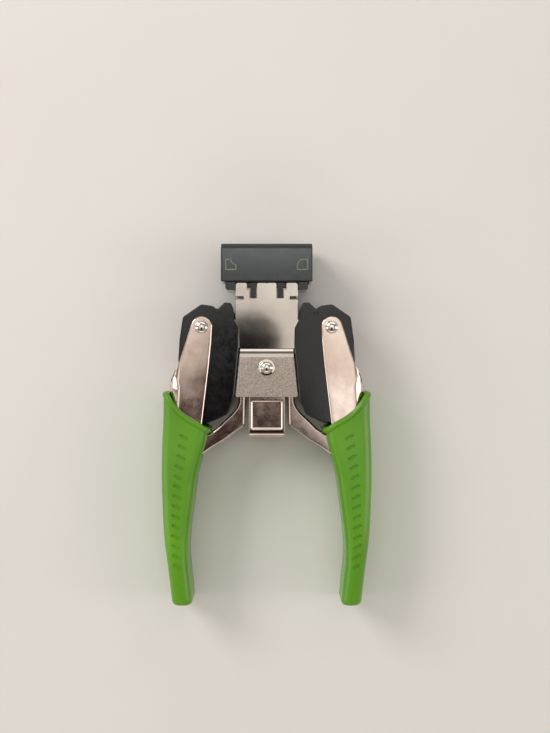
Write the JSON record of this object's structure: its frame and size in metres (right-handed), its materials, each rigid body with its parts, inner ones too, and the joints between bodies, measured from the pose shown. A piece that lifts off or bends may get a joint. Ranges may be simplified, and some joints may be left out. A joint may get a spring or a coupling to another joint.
{
  "type": "corner rounder",
  "caption": "Hand-squeezed corner rounder: two hinged levers with moulded grips drive a carrier of punches up through a card slot into a die under a chip-catching cap",
  "frame": {"origin": "On the table under the middle of the tool's outline, the tool lying on its back", "axes": "+Y runs from the grips to the head, +X to the tool's right seen from its front, +Z out of its front"},
  "size_m": [0.1022, 0.174, 0.0344],
  "materials": {
    "front_frame_plate": "nickel plated, satin",
    "rear_frame_plate": "nickel plated, satin",
    "bottom_bridge": "bright plated",
    "centre_rivet": "bright plated",
    "centre_spacer": "nickel plated, satin",
    "head_cap": "black, glossy",
    "die_holder": "black, glossy",
    "die_plate": "nickel plated, satin",
    "paper_stop": "nickel plated, satin",
    "guide_plate": "nickel plated, satin",
    "left_guide_pin": "nickel plated, satin",
    "left_return_spring": "spring wire",
    "left_pivot_rivet": "bright plated",
    "left_pivot_spacer": "nickel plated, satin",
    "left_wing_front": "black, glossy",
    "left_wing_rear": "black, glossy",
    "right_guide_pin": "nickel plated, satin",
    "right_return_spring": "spring wire",
    "right_pivot_rivet": "bright plated",
    "right_pivot_spacer": "nickel plated, satin",
    "right_wing_front": "black, glossy",
    "right_wing_rear": "black, glossy",
    "carrier_block": "nickel plated, satin",
    "stub_punch": "nickel plated, satin",
    "deco_punch": "nickel plated, satin",
    "left_punch_pin": "nickel plated, satin",
    "right_punch_pin": "nickel plated, satin",
    "left_lever_channel": "bright plated",
    "left_drive_arm": "nickel plated, satin",
    "left_upper_arm_pin": "nickel plated, satin",
    "left_lower_arm_pin": "nickel plated, satin",
    "left_grip": "moulded green, satin",
    "right_lever_channel": "bright plated",
    "right_drive_arm": "nickel plated, satin",
    "right_upper_arm_pin": "nickel plated, satin",
    "right_lower_arm_pin": "nickel plated, satin",
    "right_grip": "moulded green, satin"
  },
  "bodies": {
    "frame": {"front_frame_plate": "front_frame_plate", "rear_frame_plate": "rear_frame_plate", "bottom_bridge": "bottom_bridge", "centre_rivet": "centre_rivet", "centre_spacer": "centre_spacer", "head_cap": "head_cap", "die_holder": "die_holder", "die_plate": "die_plate", "paper_stop": "paper_stop", "guide_plate": "guide_plate", "left_guide_pin": "left_guide_pin", "left_return_spring": "left_return_spring", "left_pivot_rivet": "left_pivot_rivet", "left_pivot_spacer": "left_pivot_spacer", "left_wing_front": "left_wing_front", "left_wing_rear": "left_wing_rear", "right_guide_pin": "right_guide_pin", "right_return_spring": "right_return_spring", "right_pivot_rivet": "right_pivot_rivet", "right_pivot_spacer": "right_pivot_spacer", "right_wing_front": "right_wing_front", "right_wing_rear": "right_wing_rear"},
    "punch_carrier": {"carrier_block": "carrier_block", "stub_punch": "stub_punch", "deco_punch": "deco_punch", "left_punch_pin": "left_punch_pin", "right_punch_pin": "right_punch_pin"},
    "left_lever": {"left_lever_channel": "left_lever_channel", "left_drive_arm": "left_drive_arm", "left_upper_arm_pin": "left_upper_arm_pin", "left_lower_arm_pin": "left_lower_arm_pin", "left_grip": "left_grip"},
    "right_lever": {"right_lever_channel": "right_lever_channel", "right_drive_arm": "right_drive_arm", "right_upper_arm_pin": "right_upper_arm_pin", "right_lower_arm_pin": "right_lower_arm_pin", "right_grip": "right_grip"}
  },
  "joints": [
    {"name": "left_lever_hinge", "type": "hinge", "parent": "frame", "child": "left_lever", "pos_m": [-0.03125, 0.0468, 0.0172], "axis": [0, 0, 1], "range_deg": [0, 11], "stiffness_Nm_per_rad": 1.2, "springref_deg": -6.88},
    {"name": "right_lever_hinge", "type": "hinge", "parent": "frame", "child": "right_lever", "pos_m": [0.03125, 0.0468, 0.0172], "axis": [0, 0, -1], "range_deg": [0, 11]},
    {"name": "punch_carrier_slide", "type": "slide", "parent": "frame", "child": "punch_carrier", "axis": [0, 1, 0], "range_m": [0, 0.0043], "deforming": ["left_return_spring", "right_return_spring"]}
  ],
  "couplings": [
    {"joint": "right_lever_hinge", "follows": "left_lever_hinge", "ratio": 1},
    {"joint": "punch_carrier_slide", "follows": "left_lever_hinge", "m_per_rad": 0.02234}
  ]
}
